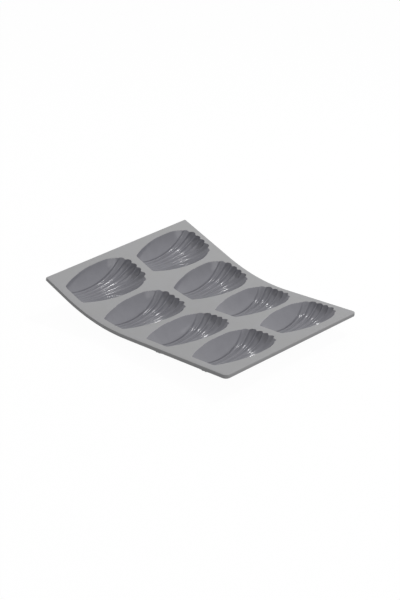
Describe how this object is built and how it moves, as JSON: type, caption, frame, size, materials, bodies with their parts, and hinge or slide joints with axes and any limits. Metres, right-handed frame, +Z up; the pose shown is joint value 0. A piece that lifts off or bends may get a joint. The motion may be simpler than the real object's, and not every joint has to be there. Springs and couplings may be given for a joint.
{
  "type": "madeleine pan",
  "caption": "Flexible moulded madeleine pan: shell-shaped fluted cups hang from one thin bendable sheet whose rows fold against each other, shown curled up at one end.",
  "frame": {"origin": "on the surface that the mould stands on, under the middle of its bounding box, as it lies at rest", "axes": "+X along the rows' order, from the curled-up end to the flat end; +Y along the length of the cups, from their narrow ends to their wide ends; +Z up"},
  "size_m": [0.208, 0.177, 0.0504],
  "materials": {
    "sheet_silicone": "matte, faintly mottled",
    "cup_silicone": "satin, smoother than the sheet"
  },
  "bodies": {
    "row_1": {"row_1_web": "sheet_silicone", "cup_1_near": "cup_silicone", "cup_1_far": "cup_silicone"},
    "row_2": {"row_2_web": "sheet_silicone", "cup_2_near": "cup_silicone", "cup_2_far": "cup_silicone", "flex_strip_1_2": "sheet_silicone"},
    "row_3": {"row_3_web": "sheet_silicone", "cup_3_near": "cup_silicone", "cup_3_far": "cup_silicone", "flex_strip_2_3": "sheet_silicone", "flex_strip_3_4": "sheet_silicone"},
    "row_4": {"row_4_web": "sheet_silicone", "cup_4_near": "cup_silicone", "cup_4_far": "cup_silicone"}
  },
  "joints": [
    {"name": "fold_2_3", "type": "hinge", "parent": "row_3", "child": "row_2", "pos_m": [-0.00202, 0.00048, 0.01404], "axis": [-0.0018, 0.9999, 0.0152], "range_deg": [-53, 37], "stiffness_Nm_per_rad": 0.4, "springref_deg": 2.39, "deforming": ["flex_strip_2_3"]},
    {"name": "fold_1_2", "type": "hinge", "parent": "row_2", "child": "row_1", "pos_m": [-0.05156, 0.00026, 0.02256], "axis": [0.008, 0.9974, 0.0715], "range_deg": [-52, 38], "stiffness_Nm_per_rad": 0.4, "springref_deg": 1.16, "deforming": ["flex_strip_1_2"]},
    {"name": "fold_3_4", "type": "hinge", "parent": "row_3", "child": "row_4", "pos_m": [0.04816, 0.00047, 0.01556], "axis": [0.0002, -1, 0.0001], "range_deg": [-40, 50], "stiffness_Nm_per_rad": 0.4, "springref_deg": 1.26, "deforming": ["flex_strip_3_4"]}
  ]
}
